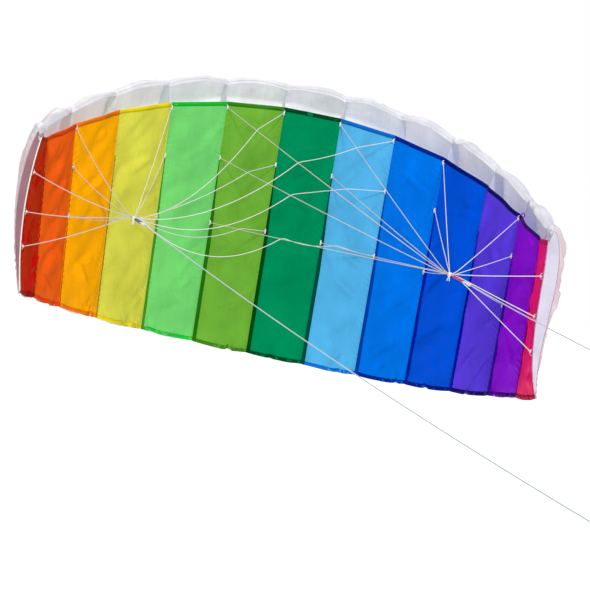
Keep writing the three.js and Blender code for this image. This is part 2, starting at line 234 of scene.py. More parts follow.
def linear(colour):
    """A colour 0xRRGGBB as Blender's linear numbers, with alpha."""
    shares = [c / 255 for c in colour.to_bytes(3, "big")]
    return tuple(c / 12.92 if c <= 0.04045 else ((c + 0.055) / 1.055) ** 2.4 for c in shares) + (1.0,)


def mesh_object(name, points, faces, uv=None, material=None):
    mesh = bpy.data.meshes.new(name)
    mesh.from_pydata(np.asarray(points, float).reshape(-1, 3).tolist(), [], faces)
    if uv is not None:
        layer = mesh.uv_layers.new(name="UVMap")
        corners = np.empty(len(mesh.loops), int)
        mesh.loops.foreach_get("vertex_index", corners)
        layer.data.foreach_set("uv", np.asarray(uv, float).reshape(-1, 2)[corners].ravel())
    mesh.shade_smooth()
    if material is not None:
        mesh.materials.append(material)
    thing = bpy.data.objects.new(name, mesh)
    bpy.context.scene.collection.objects.link(thing)
    return thing


def grid_faces(rows, columns, closed=False):
    """Quads of a grid of points, with its last column joined to the first if it is closed."""
    faces = []
    for i in range(rows - 1):
        here, ahead = i * columns, (i + 1) * columns
        for j in range(columns if closed else columns - 1):
            beside = (j + 1) % columns
            faces.append((here + j, here + beside, ahead + beside, ahead + j))
    return faces


def frames_along(line, closed=False):
    """Two directions across a line at each of its points, turning as little as they can."""
    before, after = np.roll(line, 1, 0), np.roll(line, -1, 0)
    if not closed:
        before[0], after[-1] = line[0], line[-1]
    along = unit(after - before)
    first = np.cross(along[0], (0.31, 0.17, 0.93))
    across = [unit(first)]
    for direction in along[1:]:
        last = across[-1] - (across[-1] @ direction) * direction
        across.append(unit(last))
    across = np.array(across)
    return across, np.cross(along, across)


def tube(name, line, radius, material, sides=8, closed=False):
    """A round tube along a line of points, with its own length along UV's second axis. The radius is one
    number, or one for each point."""
    line = np.asarray(line, float)
    across, over = frames_along(line, closed)
    turn = np.linspace(0, 2 * math.pi, sides, endpoint=False)
    radii = np.broadcast_to(radius, len(line))[:, None, None]
    ring = across[:, None] * np.cos(turn)[None, :, None] + over[:, None] * np.sin(turn)[None, :, None]
    points = line[:, None] + ring * radii
    run = np.broadcast_to(lengths_along(line)[:, None], (len(line), sides))
    around = np.broadcast_to(np.linspace(0, 1, sides), (len(line), sides))
    faces = grid_faces(len(line), sides, closed=True)
    count = len(line) * sides
    if closed:
        last = count - sides
        faces += [(last + j, last + (j + 1) % sides, (j + 1) % sides, j) for j in range(sides)]
    else:
        faces.append(tuple(reversed(range(sides))))
        faces.append(tuple(range(count - sides, count)))
    return mesh_object(name, points, faces, np.stack((around, run), -1), material)


def joined(name, things):
    """Several mesh objects as one."""
    with bpy.context.temp_override(active_object=things[0], selected_editable_objects=things):
        bpy.ops.object.join()
    things[0].name = name
    things[0].data.name = name
    return things[0]


# --- The canopy's shape ---


def arch_point(bend, u):
    """An edge's place in plan at u, from -1 at the left tip to 1 at the right tip."""
    steps = 200
    shares = u * (np.arange(steps) + 0.5) / steps
    angles = np.radians(sum(factor * shares ** (power + 1) for power, factor in enumerate(bend)))
    return np.array((np.cos(angles).sum(), -np.sin(angles).sum())) * u * SPAN / 2 / steps


def leading_edge(u):
    x, y = arch_point(LEADING_BEND, u)
    return np.array((x, y, LIP_Z - sum(f * u**p for p, f in LEADING_DROP.items())))


def trailing_edge(u):
    x, y = arch_point(TRAILING_BEND, u)
    z = LIP_Z - CHORD + sum(f * u**p for p, f in TRAILING_RISE.items())
    return np.array((x + TRAILING_SHIFT, y, z))


class Rib:
    """A rib's own frame: aft along the underside's seam, up to the upper skin and side along the span."""

    def __init__(self, number):
        u = 2 * (number - 1) / CELLS - 1
        near = 0.01
        self.number = number
        self.origin = leading_edge(u)
        chord = trailing_edge(u) - self.origin
        self.chord = float(np.linalg.norm(chord))
        self.aft = unit(chord)
        along = leading_edge(u + near) - leading_edge(u - near)
        along += trailing_edge(u + near) - trailing_edge(u - near)
        self.up = unit(np.cross(along, self.aft))
        self.side = np.cross(self.aft, self.up)
        self.thickness = 1 - TIP_THINNING["left" if u < 0 else "right"] * u**4

    def turned(self, flat):
        """Directions in the rib's plane, (aft, up), as directions in the row frame."""
        return flat[..., :1] * self.aft + flat[..., 1:2] * self.up

    def place(self, flat):
        return self.origin + self.turned(np.asarray(flat, float))


def underside_height(rib, w):
    """How far the underside stands up from the straight line between its ends. Only the tips bend."""
    if rib.number == 1:
        return SLACK_TIP_CAMBER * rib.chord * 4 * w * (1 - w)
    if rib.number == CELLS + 1:
        return -TAUT_TIP_DRAW * rib.chord * 6.75 * w**2 * (1 - w)
    return 0 * w


RIBS = {number: Rib(number) for number in range(1, CELLS + 2)}
LINE_STATIONS = 240


def upper_line(rib):
    """The upper skin from the intake's upper lip round the nose and back to the trailing edge."""
    crest = CREST_HEIGHT * rib.thickness
    nose = NOSE_HEIGHT * rib.thickness
    turn = np.radians(np.linspace(LIP_TURN, 90, 90))
    rise = np.where(turn < 0, nose, crest - nose)
    aft = CREST_AFT - (CREST_AFT + NOSE_AHEAD * rib.thickness) * np.cos(turn)
    front = np.stack((aft, nose + rise * np.sin(turn)), -1)
    w = np.linspace(0, 1, 90)[1:]
    height = crest * (1 - 1.5 * w**2 + 0.5 * w**3) + TAIL_HEIGHT / rib.chord * w
    rear = np.stack((CREST_AFT + (1 - CREST_AFT) * w, height), -1)
    line = np.concatenate((front, rear)) * rib.chord
    line[:, 1] += underside_height(rib, np.maximum(line[:, 0] / rib.chord, 0))
    return evenly(line, LINE_STATIONS)


def lower_line(rib):
    w = np.linspace(0, 1, 60)
    return evenly(np.stack((w * rib.chord, underside_height(rib, w)), -1), LINE_STATIONS)


def line_normals(line):
    walk = unit(np.gradient(line, axis=0))
    return np.stack((-walk[:, 1], walk[:, 0]), -1)


def crease(x, y, start, end, width, height):
    """A soft fold from start to end: a ridge with a shallow trough beside it, fading at both ends."""
    start, end = np.array(start), np.array(end)
    run = end - start
    length = np.linalg.norm(run)
    run = run / length
    along = ((x - start[0]) * run[0] + (y - start[1]) * run[1]) / length
    beside = ((x - start[0]) * -run[1] + (y - start[1]) * run[0]) / width
    fade = smooth_step(along / 0.25) * smooth_step((1 - along) / 0.45)
    return height * fade * (np.exp(-(beside**2)) - 0.6 * np.exp(-((beside - 1.7) ** 2)))


WAVE_LIMITS = ((0.04, 0.11), (0.2, 1.3), (0, 6.28), (0.0005, 0.0012))  # length, angle, phase, height
PUCKER_LIMITS = ((0.0085, 0.0125), (0, 6.28), (0.3, 1.0))  # period, phase, drift


class Skin:
    """One cell's panel of the upper or lower skin. Its places are s across, from the left rib to the right
    one, and t along, from the intake to the trailing edge, both from 0 to 1."""

    def __init__(self, cell, upper):
        self.cell, self.upper = cell, upper
        self.ribs = (RIBS[cell], RIBS[cell + 1])
        self.outside = 1 if upper else -1
        self.seams, self.outs = [], []
        for rib in self.ribs:
            line = upper_line(rib) if upper else lower_line(rib)
            self.seams.append(rib.place(line))
            self.outs.append(rib.turned(line_normals(line)) * self.outside)
        self.length = float(np.mean([lengths_along(seam)[-1] for seam in self.seams]))
        self.width = SPAN / CELLS
        self.draw_folds(random.Random(100 * cell + upper))

    def draw_folds(self, draw):
        """The panel's own folds: long soft ones, and short ones that fan out from its sewn edges."""
        self.folds = []
        count = 9 if self.upper else 8
        for i in range(count):
            y = self.length * (i + draw.uniform(0.1, 0.9)) / count
            x = self.width * draw.uniform(0.55, 1.0)
            reach = draw.uniform(0.03, 0.085)
            lean = draw.uniform(0.35, 1.0) if draw.random() < 0.75 else draw.uniform(-0.9, -0.2)
            end = (x - reach * math.cos(lean), y + reach * math.sin(lean))
            height = draw.uniform(0.0016, 0.004) * (1.1 if self.upper else 1.0)
            self.folds.append(((x, y), end, draw.uniform(0.0035, 0.008), height))
        self.waves = [tuple(draw.uniform(*limits) for limits in WAVE_LIMITS) for _ in range(4)]
        self.puckers = [tuple(draw.uniform(*limits) for limits in PUCKER_LIMITS) for _ in range(2)]
        self.pinch = draw.uniform(0.18, 0.85)
        self.pinch_depth = draw.uniform(0.6, 1.25)
        self.scallop = draw.uniform(0.0015, 0.004)

    def ripple(self, s, t):
        """How far the cloth stands out from its smooth swell, in metres."""
        x, y = s * self.width, t * self.length
        free = smooth_step(np.minimum(x, self.width - x) / 0.012)
        out = np.zeros(np.broadcast(s, t).shape)
        for start, end, width, height in self.folds:
            out = out + crease(x, y, start, end, width, height) * free
        for length, angle, phase, height in self.waves:
            out = out + height * free * np.sin(
                2 * math.pi * (x * math.sin(angle) + y * math.cos(angle)) / length + phase
            )
        for (period, phase, drift), beside in zip(self.puckers, (x, self.width - x)):
            strength = 0.5 + 0.5 * np.sin(y * 2 * math.pi / 0.067 + 3 * phase)
            height = (0.0014 if self.upper else 0.0008) * (0.35 + strength)
            near = (beside / 0.0035) * np.exp(1 - beside / 0.0035)
            out = out + height * near * np.sin(2 * math.pi * (y + 0.9 * beside * drift) / period + phase)
        from_tail = (1 - t) * self.length
        fan = np.sin((s - self.pinch) * self.width / (0.0024 + 0.30 * from_tail) * 2.2)
        tail = np.exp(-from_tail / 0.022) * np.exp(-(((s - self.pinch) / 0.22) ** 2))
        return out + 0.0030 * self.pinch_depth * tail * fan * free * (0.35 if self.upper else 1)

    def at(self, s, t, lift=0.0):
        """Points of the skin at s and t, raised by lift from its outer face."""
        s, t = np.broadcast_arrays(np.asarray(s, float), np.asarray(t, float))
        slack = LIP_SCALLOP * np.sin(math.pi * np.clip(s, 0, 1)) ** 0.7 * np.exp(-np.clip(t, 0, 1) / 0.03)
        drawn = np.clip(t, 0, 1) + (slack if self.upper else 0)
        station = np.clip(drawn, 0, 1) * (LINE_STATIONS - 1)
        low = np.minimum(station.astype(int), LINE_STATIONS - 2)
        part = (station - low)[..., None]
        ends = [seam[low] * (1 - part) + seam[low + 1] * part for seam in self.seams]
        outs = [out[low] * (1 - part) + out[low + 1] * part for out in self.outs]
        share = s[..., None]
        out = unit(outs[0] * (1 - share) + outs[1] * share)
        taper = 1 - 0.7 * t**2
        billow = (UPPER_BILLOW if self.upper else LOWER_BILLOW) * taper * 4 * s * (1 - s)
        sag = self.scallop * np.sin(math.pi * s) ** 0.7 * smooth_step((t - 0.9) / 0.1)
        nick = np.exp(-(((s - self.pinch) / 0.035) ** 2)) * smooth_step((t - 0.93) / 0.07)
        sag = sag - 0.0035 * self.pinch_depth * nick
        aft = self.ribs[0].aft * (1 - share) + self.ribs[1].aft * share
        overrun = np.minimum(t, 0)[..., None] * self.length
        drawn_back = sag[..., None] + (0 if self.upper else overrun)
        points = ends[0] * (1 - share) + ends[1] * share + aft * drawn_back
        return points + out * (billow + self.ripple(s, t) + lift)[..., None]


# --- Materials ---


class Nodes:
    """A material's nodes, added and joined by name."""

    def __init__(self, name):
        self.material = bpy.data.materials.new(name)
        self.material.use_nodes = True
        self.tree = self.material.node_tree
        self.tree.nodes.clear()
        self.output = self.add("ShaderNodeOutputMaterial")

    def add(self, kind, **values):
        node = self.tree.nodes.new(kind)
        for key, value in values.items():
            setattr(node, key, value)
        return node

    def join(self, source, target):
        self.tree.links.new(source, target)

    def uv(self, scale):
        """The UV map, in metres on cloth, stretched by scale on each axis."""
        stretch = self.add("ShaderNodeMapping")
        stretch.inputs["Scale"].default_value = (scale[0], scale[1], 1)
        self.join(self.add("ShaderNodeUVMap", uv_map="UVMap").outputs["UV"], stretch.inputs["Vector"])
        return stretch.outputs["Vector"]

    def noise(self, scale, detail=3.0):
        texture = self.add("ShaderNodeTexNoise")
        texture.inputs["Scale"].default_value = 1
        texture.inputs["Detail"].default_value = detail
        self.join(self.uv(scale), texture.inputs["Vector"])
        return texture.outputs["Fac"]

    def wave(self, scale, direction, distortion=0.0):
        texture = self.add("ShaderNodeTexWave", bands_direction=direction)
        texture.inputs["Scale"].default_value = 1
        texture.inputs["Distortion"].default_value = distortion
        self.join(self.uv(scale), texture.inputs["Vector"])
        return texture.outputs["Fac"]

    def ramp(self, fac, stops):
        """Colours along fac, from (place, colour) pairs."""
        node = self.add("ShaderNodeValToRGB")
        while len(node.color_ramp.elements) < len(stops):
            node.color_ramp.elements.new(0.5)
        for element, (place, colour) in zip(node.color_ramp.elements, stops):
            element.position = place
            element.color = colour
        self.join(fac, node.inputs["Fac"])
        return node.outputs["Color"]

    def times(self, first, second, fac=1.0):
        node = self.add("ShaderNodeMix", data_type="RGBA", blend_type="MULTIPLY")
        node.inputs["Factor"].default_value = fac
        self.join(first, node.inputs["A"])
        self.join(second, node.inputs["B"])
        return node.outputs["Result"]

    def bump(self, height, distance, strength, below=None):
        node = self.add("ShaderNodeBump")
        node.inputs["Distance"].default_value = distance
        node.inputs["Strength"].default_value = strength
        self.join(height, node.inputs["Height"])
        if below is not None:
            self.join(below, node.inputs["Normal"])
        return node.outputs["Normal"]

    def principled(self, colour, normal, **values):
        node = self.add("ShaderNodeBsdfPrincipled")
        for key, value in values.items():
            node.inputs[key.replace("_", " ")].default_value = value
        self.join(colour, node.inputs["Base Color"])
        self.join(normal, node.inputs["Normal"])
        return node

    def surfaced(self, shader, output="BSDF"):
        """The finished material, with a shader as its surface."""
        self.join(shader.outputs[output], self.output.inputs["Surface"])
        return self.material


def grey(value):
    return (value, value, value, 1)


def shade(colour, factor):
    return tuple(c * factor for c in colour[:3]) + (1.0,)


def nylon(name, colour, through=0.38, roughness=0.42, sheen=0.04, crinkle=0.55):
    """Thin satin taffeta: a fine weave, threads of slightly different tone, and light coming through."""
    nodes = Nodes(name)
    tone = nodes.ramp(nodes.noise((22, 14), 4), ((0.3, shade(colour, 0.88)), (0.7, shade(colour, 1.08))))
    threads = nodes.ramp(nodes.noise((900, 30), 2), ((0.35, grey(0.93)), (0.65, grey(1.0))))
    picks = nodes.ramp(nodes.noise((30, 900), 2), ((0.35, grey(0.95)), (0.65, grey(1.0))))
    tinted = nodes.times(nodes.times(tone, threads), picks)
    weave = nodes.wave((260, 260), "X", 0.5)
    normal = nodes.bump(nodes.noise((70, 45), 5), 0.0016, crinkle)
    normal = nodes.bump(weave, 0.00005, 0.35, normal)
    normal = nodes.bump(nodes.wave((260, 260), "Y", 0.5), 0.00005, 0.35, normal)
    face = nodes.principled(
        tinted,
        normal,
        Roughness=roughness,
        Sheen_Weight=sheen,
        Sheen_Roughness=0.35,
        Sheen_Tint=colour,
        Specular_IOR_Level=0.16,
        Specular_Tint=colour,
    )
    glow = nodes.add("ShaderNodeBsdfTranslucent")
    nodes.join(tinted, glow.inputs["Color"])
    nodes.join(normal, glow.inputs["Normal"])
    mix = nodes.add("ShaderNodeMixShader")
    mix.inputs["Fac"].default_value = through
    nodes.join(face.outputs["BSDF"], mix.inputs[1])
    nodes.join(glow.outputs["BSDF"], mix.inputs[2])
    return nodes.surfaced(mix, "Shader")


def cord_material(name, colour):
    """Braided cord: two sets of strands that cross, with painted shade, a little grey, in the hollows between
    them.
    """
    nodes = Nodes(name)
    first = nodes.wave((2, 900), "DIAGONAL", 0.3)
    second = nodes.wave((-2, 900), "DIAGONAL", 0.3)
    tone = nodes.ramp(first, ((0.1, shade(colour, 0.84)), (0.6, colour)))
    tone = nodes.times(tone, nodes.ramp(second, ((0.1, grey(0.9)), (0.5, grey(1)))))
    normal = nodes.bump(second, 0.0002, 0.6, nodes.bump(first, 0.0002, 0.6))
    face = nodes.principled(tone, normal, Roughness=0.62, Sheen_Weight=0.35, Specular_IOR_Level=0.3)
    return nodes.surfaced(face)


def ribbon_material(name, colour):
    """Woven ribbon with ribs across it, painted darker in the grooves between the ribs as painted shade and a
    little lighter on their crests as painted light.
    """
    nodes = Nodes(name)
    ribs = nodes.wave((0, 620), "Y", 0.2)
    tone = nodes.ramp(ribs, ((0.1, shade(colour, 0.6)), (0.7, shade(colour, 1.1))))
    tone = nodes.times(tone, nodes.ramp(nodes.noise((400, 90), 3), ((0.3, grey(0.8)), (0.7, grey(1)))))
    normal = nodes.bump(ribs, 0.00025, 0.7)
    face = nodes.principled(tone, normal, Roughness=0.6, Sheen_Weight=0.25, Specular_IOR_Level=0.35)
    return nodes.surfaced(face)


def thread_material(name, colour):
    nodes = Nodes(name)
    twist = nodes.wave((900, 900), "DIAGONAL", 0.3)
    # Darker in the grooves of the twist: painted shade.
    tone = nodes.ramp(twist, ((0.2, shade(colour, 0.75)), (0.8, colour)))
    face = nodes.principled(tone, nodes.bump(twist, 0.0001, 0.5), Roughness=0.5, Specular_IOR_Level=0.4)
    return nodes.surfaced(face)


def layered(first, second, gain):
    """The colour of two layers of cloth, one over the other, with the light coming through both."""
    return tuple(gain * a * b for a, b in zip(first[:3], second[:3])) + (1.0,)


COLOURS = [linear(cloth) for _, cloth, _ in PANELS]
PANEL_NYLON = [nylon(slot, colour) for slot, colour in zip(PANEL_SLOTS, COLOURS)]
# The hem colours are painted shade, standing for light coming through two layers; the stitches take that
# painted tone, darker still.
HEMS = [(slot, linear(hem)) for slot, (_, _, hem) in zip(PANEL_SLOTS, PANELS)]
HEM_NYLON = [nylon(slot + "_hem", colour, 0.15, 0.5) for slot, colour in HEMS]
PANEL_THREAD = [thread_material(slot + "_thread", shade(colour, 0.8)) for slot, colour in HEMS]
WHITE_NYLON = nylon("white_nylon", linear(UPPER_SKIN_COLOUR), 0.45, 0.45, 0.1, 0.6)
TIP_RIB_SHADED_NYLON = nylon("tip_rib_nylon_painted_shade", linear(TIP_RIB_SHADE_COLOUR), 0.12, 0.5, 0.1, 0.9)
RIB_NYLON = nylon("rib_nylon", linear(RIB_COLOUR), 0.7, 0.5, 0.1, 0.5)
SHADED_NYLON = nylon("rib_nylon_painted_shade_and_red_light", linear(SHADED_RIB_COLOUR), 0.3, 0.5, 0.1, 0.8)
# The white hems and bindings: the white skin cloth painted a shade darker, a shaded copy of it.
WHITE_HEM = nylon("white_nylon_hem", shade(linear(UPPER_SKIN_COLOUR), 0.9), 0.3, 0.5)
WHITE_THREAD = thread_material("white_thread", linear(0xECECF0))
CORD = cord_material("line_cord", linear(LINE_COLOUR))
DULL_CORD = cord_material("dull_line_cord", linear(DULL_LINE_COLOUR))
FLYING_CORD = cord_material("flying_line_cord", linear(FLYING_LINE_COLOUR))
RIBBONS = {
    name: ribbon_material(name + "_ribbon", linear(side["ribbon"]["colour"])) for name, side in SIDES.items()
}
LOOP_TAPE = ribbon_material("white_tape", linear(0xF6F6F2))

# --- Riding on the bodies ---

TIP_HINGES = {"left_tip": 3, "right_tip": CELLS - 1}


def attach(piece, first_rib, last_rib):
    """The piece rides on the canopy or a tip; if it meets a tip's inner seam, its transform is baked and it
    rides on neither.
    """
    for tip, hinge in TIP_HINGES.items():
        outward = -1 if hinge < CELLS / 2 else 1
        if first_rib <= hinge <= last_rib:
            rib = RIBS[hinge]
            middle = rib.place((0.5 * rib.chord, 0.0))
            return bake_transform(piece)
        if (first_rib - hinge) * outward > 0 and (last_rib - hinge) * outward > 0:
            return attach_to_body(piece, tip)
    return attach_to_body(piece, "canopy")


# --- Bridle and flying lines ---

UP = np.array((0.0, 0.0, 1.0))
STRAND_SPREAD = 0.0009


def side_of(number):
    return next(name for name, side in SIDES.items() if number in side["ribs"])


def attachment(number, row, stand_off=LINE_STAND_OFF):
    rows = TIP_ROWS if number in (1, CELLS + 1) else INNER_ROWS
    rib = RIBS[number]
    return rib.place((rows[row] * rib.chord, underside_height(rib, rows[row]) - stand_off))


def stem_direction(number):
    side = SIDES[side_of(number)]
    angle = math.radians(STEM_HEADINGS[side["ribs"].index(number)])
    return np.array((side["outboard"] * math.cos(angle), math.sin(angle), 0))


def stem_end(number):
    return np.array(SIDES[side_of(number)]["tow"]) + stem_direction(number) * STEM_LENGTH


def hanging(start, end, sag, pieces=14):
    """Points of a line hanging between two points, without its first point."""
    drop = sag * np.linalg.norm(end - start)
    t = (np.arange(pieces) + 1)[:, None] / pieces
    return start + (end - start) * t - UP * 4 * drop * t * (1 - t)


def line_route(number, row):
    """A bridle line from its rib's stem, over the lines it rests on, to the seam."""
    rests, sags = SLACK.get((number, row), ((), (TAUT_SAG,)))
    stops = []
    for rib, share in rests:
        anchor, tow = attachment(rib, row), stem_end(rib)
        drop = 4 * share * (1 - share) * TAUT_SAG * np.linalg.norm(tow - anchor)
        stops.append(anchor + (tow - anchor) * share + UP * (REST_HEIGHT - drop))
    route = [stem_end(number)]
    for stop, sag in zip([*stops, attachment(number, row)], sags):
        route.extend(hanging(route[-1], stop, sag))
    return np.array(route)


def eased(line, spacing, rounds):
    """A line with its corners rounded, as points that far apart."""
    count = max(int(lengths_along(line)[-1] / spacing), 8)
    line = evenly(line, count)
    for _ in range(rounds):
        line[1:-1] = (line[:-2] + 2 * line[1:-1] + line[2:]) / 4
    return line


def add_bridle_line(number, row):
    """One line from the tow knot to a loop in a rib's seam. A rib's three lines leave the knot together."""
    side = SIDES[side_of(number)]
    tow = np.array(side["tow"])
    out = stem_direction(number)
    start = tow + out * (KNOT_RADIUS + KNOT_GAP)
    beside = np.cross(out, UP)
    angle = 2 * math.pi * ROWS.index(row) / 3
    offset = STRAND_SPREAD * (UP * math.cos(angle) + beside * math.sin(angle))
    route = np.concatenate(([start], line_route(number, row)))
    route = eased(route, 0.0035, 6)
    away = lengths_along(route)
    route = route + offset * (1 - smooth_step(away / 0.05))[:, None]
    cord = DULL_CORD if number in DULL_LINE_RIBS else CORD
    piece = tube(f"bridle_line_{number:02d}{row}", route, BRIDLE_RADIUS, cord, sides=8)
    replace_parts(piece, f"bridle_{number:02d}")
    if number == 1:
        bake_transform(piece)
    elif number == CELLS + 1:
        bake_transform(piece)
    else:
        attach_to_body(piece, "canopy")


def pull_axes(side):
    """Axes at a tow point: across and level, over, and along the flying line."""
    pull = unit(np.array(side["line_end"]) - np.array(side["tow"]))
    across = unit(np.cross(UP, pull))
    return across, np.cross(pull, across), pull


def in_axes(side, points, origin=None):
    """Points given as (across, over, along the pull) from a tow point."""
    origin = np.array(side["tow"]) if origin is None else np.array(origin)
    return origin + np.asarray(points, float) @ np.array(pull_axes(side))


def racetrack(start, end, half_width, count=64):
    """A closed loop in the plane of the first and third axes, from start to end along the third."""
    turn = np.linspace(0, 2 * math.pi, count, endpoint=False)
    reach = half_width + LINE_RADIUS
    along = np.where(np.sin(turn) > 1e-9, end - reach, start + reach)
    loop = np.stack((half_width * np.cos(turn), 0 * turn, along + half_width * np.sin(turn)), -1)
    loop = np.concatenate((loop, loop[:1]))
    return evenly(loop, 4 * count)[:-1]


def trefoil(radius, count=72):
    """The closed curve of a simple overhand knot, with its outermost points at radius."""
    turn = np.linspace(0, 2 * math.pi, count, endpoint=False)
    x = np.sin(turn) + 2 * np.sin(2 * turn)
    y = np.cos(turn) - 2 * np.cos(2 * turn)
    return np.stack((x, y, -1.3 * np.sin(3 * turn)), -1) * radius / 3


def add_knot(name, centre, axes, radius, cord_radius, twist=0.0):
    """An overhand knot pulled tight round its line, which runs along the last of axes."""
    turned = Matrix.Rotation(twist, 3, "Z")
    points = trefoil(radius - cord_radius) @ np.array(turned).T
    return tube(name, np.asarray(centre) + points @ np.array(axes), cord_radius, CORD, sides=8, closed=True)


def axes_along(direction):
    """Three directions at right angles, the last along direction."""
    last = unit(direction)
    first = unit(np.cross(last, (0.2, 0.3, 0.93)))
    return first, np.cross(last, first), last


def add_bridle_knot(name, side):
    """The knot that gathers fifteen lines, with the lines' short ends hanging from it."""
    tow = np.array(side["tow"])
    axes = pull_axes(side)
    parts = [
        add_knot(f"{name}_gather", tow, axes, KNOT_RADIUS, 0.0014),
        add_knot(f"{name}_gather_over", tow, (axes[1], axes[2], axes[0]), KNOT_RADIUS * 0.9, 0.0012, 0.6),
    ]
    for i, lean in enumerate((-0.12, 0.1)):
        t = np.linspace(0, 1, 12)[:, None]
        start = tow - UP * 0.6 * KNOT_RADIUS + np.array((0.0007 * (2 * i - 1), 0, 0))
        fall = start - UP * 2.0 * KNOT_RADIUS * t + np.array((lean, 0.05, 0)) * 0.01 * t**2
        radii = LINE_RADIUS * (0.85 + 0.3 * smooth_step((t[:, 0] - 0.85) / 0.15))
        parts.append(tube(f"{name}_tail_{i}", fall, radii, CORD))
    piece = joined(f"{name}_bridle_knot_wound", parts)
    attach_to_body(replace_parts(piece, f"{name}_bridle_knot"), "canopy")


def add_tow_loop(name, side):
    loop = in_axes(side, racetrack(LOOP_START, side["loop_end"], LOOP_HALF_WIDTH))
    piece = tube(f"{name}_tow_loop_cord", loop, LINE_RADIUS, CORD, sides=8, closed=True)
    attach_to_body(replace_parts(piece, f"{name}_tow_loop"), f"{name}_tow")


def add_ribbon_tab(name, side):
    """A ribbon folded round the tow loop and sewn to itself: a flat sleeve with a seam along one face."""
    around, along = 56, 26
    turn = np.linspace(0, 2 * math.pi, around, endpoint=False)
    ribbon = side["ribbon"]
    straight = ribbon["width"] / 2 - RIBBON_DEPTH / 2 - RIBBON_WALL / 2 - 0.0002
    rows = []
    for k in np.linspace(0, 1, along):
        waist = 1 - 0.09 * (1 - (2 * k - 1) ** 4)
        ripple = 0.00005 * np.sin(3 * turn + 9 * k)
        radius = (RIBBON_DEPTH / 2 - 0.0001) * waist - RIBBON_WALL / 2 + ripple
        x = np.cos(turn) * radius + np.clip(3 * np.cos(turn), -1, 1) * straight
        y = np.sin(turn) * radius
        z = np.full(around, ribbon["start"] + ribbon["length"] * k) + 0.0002 * np.sin(turn * 2)
        rows.append(np.stack((x, y, z), -1))
    points = np.array(rows)
    girth = np.broadcast_to(np.linspace(0, 0.026, around), (along, around))
    run = np.broadcast_to(np.linspace(0, ribbon["length"], along)[:, None], (along, around))
    piece = mesh_object(
        f"{name}_ribbon_sleeve",
        in_axes(side, points),
        grid_faces(along, around, closed=True),
        np.stack((girth, run), -1),
        RIBBONS[name],
    )
    thick = piece.modifiers.new("thickness", "SOLIDIFY")
    thick.thickness = RIBBON_WALL
    thick.offset = 0
    edge = piece.modifiers.new("rounding", "BEVEL")
    edge.width = 0.0002
    edge.segments = 2
    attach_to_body(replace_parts(piece, f"{name}_ribbon_tab"), f"{name}_tow")
    rows = []
    for x in (-0.0019, 0.0019):
        for z in np.arange(0.0015, ribbon["length"] - 0.001, 0.0019):
            for face in (-1, 1):
                place = (x, face * (RIBBON_DEPTH / 2 - 0.0001), ribbon["start"] + z)
                rows.append((place, (0.15, 0, 1), (0, face, 0)))
    thread = stitch_mesh(f"{name}_ribbon_stitching", rows, 0.0012, 0.00016, WHITE_THREAD, side)
    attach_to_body(thread, f"{name}_tow")


def stitch_mesh(name, rows, length, radius, material, side=None):
    """Small spindles of thread, one for each (place, direction, outward) of rows."""
    points, faces, uv = [], [], []
    for place, direction, outward in rows:
        along = unit(direction) * length / 2
        out = unit(outward) * radius
        across = unit(np.cross(direction, outward)) * radius
        place = np.asarray(place)
        base = len(points)
        points.append(place - along)
        points.extend(place + c * across + s * out for c, s in ((1, 0), (0, 1), (-1, 0), (0, -1)))
        points.append(place + along)
        faces.extend((base, base + 1 + (j + 1) % 4, base + 1 + j) for j in range(4))
        faces.extend((base + 5, base + 1 + j, base + 1 + (j + 1) % 4) for j in range(4))
        waist = [(0, length / 2), (0.001, length / 2)]
        uv.extend([(0, 0), *waist, *waist, (0, length)])
    points = np.array(points)
    if side is not None:
        points = in_axes(side, points)
    return mesh_object(name, points, faces, uv, material)


def line_knot_centre(side):
    return side["loop_end"] + KNOT_GAP + LINE_KNOT_RADIUS


def add_line_knot(name, side):
    """The flying line's lark's head: two turns round the end of the tow loop, and the knot behind them."""
    axes = pull_axes(side)
    crossed = (axes[1], axes[2], axes[0])
    centre = in_axes(side, (0, 0, line_knot_centre(side)))
    parts = [
        add_knot(f"{name}_hitch", centre, axes, LINE_KNOT_RADIUS, LINE_RADIUS),
        add_knot(f"{name}_hitch_over", centre, crossed, LINE_KNOT_RADIUS * 0.8, LINE_RADIUS, 0.5),
    ]
    turn = np.linspace(0, 2 * math.pi, 28, endpoint=False)
    for i, x in enumerate((-0.00085, 0.00085)):
        ring = np.stack((np.full(28, x), 0.0017 * np.cos(turn), 0.0021 * np.sin(turn)), -1)
        ring = ring + np.array((0, 0, side["loop_end"] - LINE_RADIUS + 0.0004))
        parts.append(tube(f"{name}_turn_{i}", in_axes(side, ring), LINE_RADIUS * 0.9, CORD, closed=True))
    piece = joined(f"{name}_larks_head", parts)
    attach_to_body(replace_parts(piece, f"{name}_line_knot"), f"{name}_line")


def add_flying_line(name, side):
    """The flying line to its knotted end loop, which lies just outside the camera's view."""
    start = in_axes(side, (0, 0, line_knot_centre(side) + LINE_KNOT_RADIUS * 0.6))
    end = np.array(side["line_end"])
    sag = side["line_sag"] / np.linalg.norm(end - start)
    route = eased(np.concatenate(([start], hanging(start, end, sag, 30))), 0.008, 2)
    line = tube(f"{name}_flying_line_cord", route, LINE_RADIUS, FLYING_CORD, sides=8)
    loop = in_axes(side, racetrack(0, END_LOOP["length"], END_LOOP["half_width"]), end)
    loop = tube(f"{name}_end_loop", loop, LINE_RADIUS, FLYING_CORD, closed=True)
    knot = add_knot(f"{name}_end_knot", end, pull_axes(side), END_LOOP["knot"] + 0.0006, LINE_RADIUS)
    for piece in (line, loop, knot):
        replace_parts(piece, f"{name}_flying_line")
        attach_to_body(piece, f"{name}_line")


